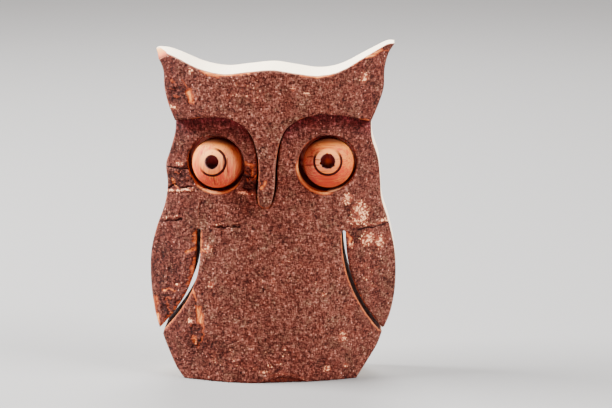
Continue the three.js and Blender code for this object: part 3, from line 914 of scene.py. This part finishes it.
# Head
# The upper part of the same slab: forehead, both ears and the beak that hangs from the brow. It was
# sawn free along the brow and beak and glued back a step further forward, so it throws a shadow.
BROW_STEP = 4.5
EAR_TIP_LEFT, EAR_TIP_RIGHT = (-51.6, 146.1), (53.1, 150.0)
EAR_BREAK = [(-51.6, 11.5, 146.1), (-48.7, -6.5, 143.4), (-43.5, -9.2, 146)]
EAR_CURVE_LEFT = [(-44.7, 125.2), (-46.2, 132), (-46.4, 138), (-47.5, 141.9), (-49.3, 144.4)]
CROWN_CURVE = [(-49.9, 146.7), (-45.4, 146.2), (-40, 144.3), (-30, 140.2), (-20, 138.5), (-10, 139.5),
               (0.5, 140.5), (10, 139.2), (20.5, 137.9), (30, 139.7), (41, 145.4), (49.5, 149.7)]
EAR_CURVE_RIGHT = [(50.5, 146), (48.9, 139.5), (48.6, 131.5), (46.3, 124.2)]

head_loop = joined(
    seam(0, 0),
    bend(BROW_RIGHT, *EAR_CURVE_RIGHT[::-1], EAR_TIP_RIGHT),
    bend(EAR_TIP_RIGHT, *CROWN_CURVE[::-1], EAR_TIP_LEFT),
    bend(EAR_TIP_LEFT, *EAR_CURVE_LEFT[::-1], BROW_LEFT),
)
# The saw leaned, so the beak is up to a millimetre wider at its back, less near the brow
loop_x, loop_z = head_loop.T
beside_beak = unit((119 - loop_z) / 5) * unit((13 - np.abs(loop_x)) / 4)
beside_beak *= 0.75 + 0.27 * unit((loop_z - 98) / 8)
head = slab_piece("owl_head", head_loop, {}, BROW_STEP, 55, beside_beak, EAR_BREAK)
head.data.materials.append(log_finish("head_bark_and_wood", LOG_AXIS - BROW_STEP))
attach(head, "root")
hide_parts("head")

# Eyes
# Two turned wooden beads glued into the bores. Each has a drilled pupil and one ring scored round
# it. The left one's grain stands upright, the right one's lies level.
PUPIL_DEPTH = 8.0
RING_RADIUS = 5.85
RING_DEPTH = 0.5
RING_HALF_WIDTH = 0.49
# Angles in degrees. beak_side is 1 where the beak is on the bead's right, and shade is how strong the painted
# side shade is. Checks are drying cracks.
EYES = {
    "left": {
        "pupil": 6.1,
        "shape": {"at": (-23.5, 98.6), "turn": -9.5, "lift": 12.0, "beak_side": 1,
                  "torn": 0.0, "deepest": -32.0, "faint": 0.0,
                  "checks": [[(0.9, -6.2), (0.8, -9.4)], [(4.9, 3), (5.1, -4)], [(6.5, 2), (6.7, -4)]]},
        "wood": {"grain": 4.0, "pupil_pale": 0.0, "shade": 0.6},
    },
    "right": {
        "pupil": 6.5,
        "shape": {"at": (24.8, 98.9), "turn": 0.0, "lift": 13.3, "beak_side": -1,
                  "torn": 0.55, "deepest": -90.0, "faint": 0.2,
                  "checks": [[(-5.6, 0.6), (-3.6, 0.6)], [(-10.2, -1.6), (-3.8, -1.7)],
                             [(-9, 2), (-6.4, 2.1)]]},
        "wood": {"grain": 88.0, "pupil_pale": 0.88, "shade": 1.0},
    },
}
EYE_SIDES = 220


def eye_ball(name, bore, pupil, at, turn, lift, beak_side, torn, deepest, faint, checks):
    """A ball turned round its -Y axis: a radius for each row of the profile and each angle round the
    axis. The ring is a V-shaped dip, cut deepest at one angle and running out on the far side, where
    faint deepens it. The pupil is a drilled hole with a cone at its end and a rim torn by so much. The
    marks are places and distances in mm, but cut_deep and check run from 0 to 1."""
    radius = BALL / 2
    around = np.linspace(0, 2 * np.pi, EYE_SIDES, endpoint=False)
    rim = np.arcsin(pupil / 2 / radius)
    polar = np.concatenate([np.linspace(rim, 0.75, 60), np.linspace(0.76, np.pi, 90)[:-1]])[:, None]
    scored = np.clip(0.5 + faint + 0.7 * np.cos(around - radians(deepest)), 0.05, 1)
    dip = RING_DEPTH * unit(1 - np.abs(radius * np.sin(polar) - RING_RADIUS) / RING_HALF_WIDTH)
    dip = np.where(polar < 1.2, dip, 0) * scored
    bore_across = pupil / 2 * np.array([0.5, 1, 1, 1, 1])[:, None] + 0 * around
    drill = np.array([-pupil / 8, 0, 2.6, 5.2, radius * np.cos(rim) - radius + PUPIL_DEPTH - 0.25])
    across = np.concatenate([bore_across, (radius - dip) * np.sin(polar)])
    drilled = radius - PUPIL_DEPTH + drill[:, None] + 0 * around
    forward = np.concatenate([drilled, (radius - dip) * np.cos(polar)])
    ragged_rim = 0.06 * np.sin(3 * around + 1) * np.sin(7 * around)
    ragged_rim += torn * (unit(np.sin(4 * around + 0.6) * np.cos(7 * around + 1.1)) - 0.2)
    r = across + unit(1 - np.abs(across - pupil / 2) / 0.6) * ragged_rim
    x, y, z = r * np.cos(around), -forward, r * np.sin(around)
    tip = -radius + PUPIL_DEPTH + pupil / 4
    local = np.concatenate([[[0, tip, 0]], np.c_[x.ravel(), y.ravel(), z.ravel()], [[0, radius, 0]]])
    centre = Vector((at[0], SLAB_BACK - log_depth(*bore) + BALL_SUNK, at[1]))
    aim = Matrix.Rotation(radians(turn), 3, "Z") @ Matrix.Rotation(radians(-lift), 3, "X")
    places = np.clip(local @ np.array(aim).T + np.array(centre), *np.array(cad_box) / MM)
    rows = 1 + np.arange(len(r) * EYE_SIDES).reshape(len(r), EYE_SIDES)
    a, b = rows[:-1], rows[1:]
    quads = np.stack([a, b, np.roll(b, -1, 1), np.roll(a, -1, 1)], 2).reshape(-1, 4)
    first, last = rows[0], rows[-1]
    fans = np.r_[np.c_[np.zeros(EYE_SIDES, int), first, np.roll(first, -1)],
                 np.c_[np.full(EYE_SIDES, rows[-1, -1] + 1), np.roll(last, -1), last]]
    x, y, z = local.T
    far = np.min([away(x, z, line) for line in checks], axis=0)
    marks = {"off_axis": np.hypot(x, z), "forward": -y, "upward": z, "inward": x * beak_side,
             "cut_deep": np.r_[0, np.tile(scored, len(r)), 0], "check": unit(1.2 - far / 0.3)}
    return new_piece(name, places, fans.tolist() + quads.tolist(), marks)


BEAD_PALE = rgb(212, 128, 50)
BEAD_WARM = rgb(184, 64, 34)
BEAD_LINE = rgb(110, 30, 12)
# A painted brow shadow for the crown
BEAD_BROW_SHADOW = rgb(60, 18, 14)
BEAD_HEART = rgb(230, 150, 74)
# Dark for the checks and for the ring, whose dark is painted shade in its groove
GROOVE_SHADE_AND_CHECKS = rgb(46, 8, 6)
PUPIL_DARK = rgb(124, 92, 88)
PUPIL_WOOD = rgb(214, 154, 96)
# Tints for painted shade on the side towards the beak and on the outer side
INNER_SIDE_SHADE_TINT = (0.76, 0.92, 2.4)
OUTER_SIDE_SHADE_TINT = (0.82, 0.74, 0.64)


def bead_finish(name, pupil, grain, pupil_pale, shade):
    """Turned pale wood: streaks drawn out along the grain, a few dark checks, and paler inside the ring.
    Painted light and shade: warmer at the foot as a painted red reflection, a painted brow shadow at the
    crown, painted shade from side to side, and the ring's dark, which is painted shade in its groove. The
    pupil is dark, and the middle of its floor is pale by so much."""
    material, shader, where = new_finish(name)
    off_axis, forward, upward, inward = where.attributes("off_axis", "forward", "upward", "inward")
    cut_deep, check = where.attributes("cut_deep", "check")
    laid = where.node("ShaderNodeMapping", {"vector_type": "TEXTURE"},
                      {"Vector": where, "Rotation": (0, radians(grain), 0)})
    streak = laid.scaled(1.5, 0.9, 0.1).noise(1.0, 3, 0.6)
    band = laid.scaled(0.5, 0.5, 0.05).noise(0.7, 2, 0.5)
    # Painted reflection: towards the foot the wood turns warmer, as from red light below
    wood = ((streak - 0.5) * 1.6 + band - upward * 0.03).step(0.2, 0.85).mix(BEAD_PALE, BEAD_WARM)
    in_front = forward.step(2, 4)
    heart = (RING_RADIUS - off_axis).step(-0.2, 1.2) * in_front * (0.75 + upward * 0.06)
    wood = heart.mix(wood, BEAD_HEART)
    lines = laid.scaled(1.6, 0.8, 0.07).noise(1.0, 2, 0.5).step(0.56, 0.68) * 0.45
    wood = lines.mix(wood, BEAD_LINE)
    # Painted brow shadow on the crown
    wood = ((upward - 6).step(0, 3.2) * 0.92).mix(wood, BEAD_BROW_SHADOW)
    # Painted shade on the side towards the beak, and on the outer side, more on the right bead
    wood = (inward.step(1, 9) * shade).tint(wood, INNER_SIDE_SHADE_TINT)
    wood = ((1 - inward.step(-10, 0)) * (2 * shade - 1)).tint(wood, OUTER_SIDE_SHADE_TINT)
    wood = (check * in_front * 0.8).mix(wood, GROOVE_SHADE_AND_CHECKS)
    # The ring's dark is painted shade in its groove
    ring_far = (off_axis - RING_RADIUS) / (RING_HALF_WIDTH + 0.06)
    scored = (1.2 - ring_far * ring_far).step(0.05, 0.6) * in_front * cut_deep.step(0.0, 0.5)
    wood = scored.mix(wood, GROOVE_SHADE_AND_CHECKS)
    hole = (pupil / 2 + 0.16 - off_axis).step(-0.08, 0.12) * forward.step(-2, 0)
    floor_tone = (1.6 - off_axis).step(-0.6, 1.4) * pupil_pale
    colour = hole.mix(wood, floor_tone.mix(PUPIL_DARK, PUPIL_WOOD))
    feed(shader, Base_Color=colour, Roughness=0.6 + (hole + scored) * 0.3,
         Normal=where.bump(streak, 0.25, 0.3 * MM), Specular_IOR_Level=0.14)
    return material


for side, eye in EYES.items():
    ball = eye_ball(f"{side}_eye_bead", BORES[side], eye["pupil"], **eye["shape"])
    ball.data.materials.append(bead_finish(f"{side}_eye_bead_wood", eye["pupil"], **eye["wood"]))
    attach(ball, "root")
    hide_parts(f"{side}_eye")

# Stage and light
# A plain pale floor. A large soft lamp from each side, a weaker one behind, one for the far floor, and
# a low, weak glow in front, which stands for warm surroundings and doesn't light the floor.
FLOOR_CORNERS = [(-4, -3, 0), (4, -3, 0), (4, 6, 0), (-4, 6, 0)]
FLOOR_GREY = (0.22, 0.215, 0.21, 1)
OWL_MIDDLE = (0, 0, 0.09)
LAMP_FAR = 1.2
GLOW_COLOUR = (1, 0.06, 0.08)
ROOM_COLOUR = (0.9, 0.25, 0.25, 1)
ROOM_STRENGTH = 0.08

floor = new_object("floor", bpy.data.meshes.new("floor"))
floor.data.from_pydata(FLOOR_CORNERS, [], [(0, 1, 2, 3)])
floor_material, floor_shader, _ = new_finish("pale_floor")
feed(floor_shader, Base_Color=FLOOR_GREY, Roughness=0.7)
floor.data.materials.append(floor_material)


def soft_light(name, place, target, size, power, colour=(1, 1, 1)):
    """A flat lamp of that width and height in metres, turned towards the target."""
    lamp = new_object(name, bpy.data.lights.new(name, "AREA"))
    lamp.data.shape = "RECTANGLE"
    lamp.data.size, lamp.data.size_y = size
    lamp.data.energy = power
    lamp.data.color = colour
    lamp.visible_camera = False
    place = Vector(place)
    towards = (Vector(target) - place).to_track_quat("-Z", "Y")
    lamp.matrix_world = Matrix.Translation(place) @ towards.to_matrix().to_4x4()
    return lamp


def lamp_round_owl(name, turn, rise, size, power):
    """A soft lamp aimed at the middle of the owl from so far away, turned to the right of straight in
    front and raised, both in degrees."""
    turn, rise = radians(turn), radians(rise)
    ahead = LAMP_FAR * np.cos(rise)
    place = (ahead * np.sin(turn), -ahead * np.cos(turn), OWL_MIDDLE[2] + LAMP_FAR * np.sin(rise))
    soft_light(name, place, OWL_MIDDLE, size, power)


lamp_round_owl("left_key", turn=-89, rise=38, size=(0.5, 0.42), power=92)
lamp_round_owl("right_key", turn=73, rise=36, size=(0.45, 0.36), power=44)
lamp_round_owl("behind", turn=180, rise=40, size=(0.8, 0.5), power=20)
glow = soft_light("low_glow", (0, -0.5, 0.02), (0, 0, 0.1), size=(0.5, 0.2), power=2.8, colour=GLOW_COLOUR)
unlit = bpy.data.collections.new("not_lit_by_the_glow")
glow.light_linking.receiver_collection = unlit
unlit.objects.link(floor)
unlit.collection_objects[0].light_linking.link_state = "EXCLUDE"
soft_light("far_floor", (0, 2.0, 1.3), (0, 1.9, 0), size=(2.6, 1.6), power=60)

world = bpy.data.worlds.new("studio")
bpy.context.scene.world = world
world.use_nodes = True
background = world.node_tree.nodes["Background"].inputs
background["Color"].default_value = ROOM_COLOUR
background["Strength"].default_value = ROOM_STRENGTH
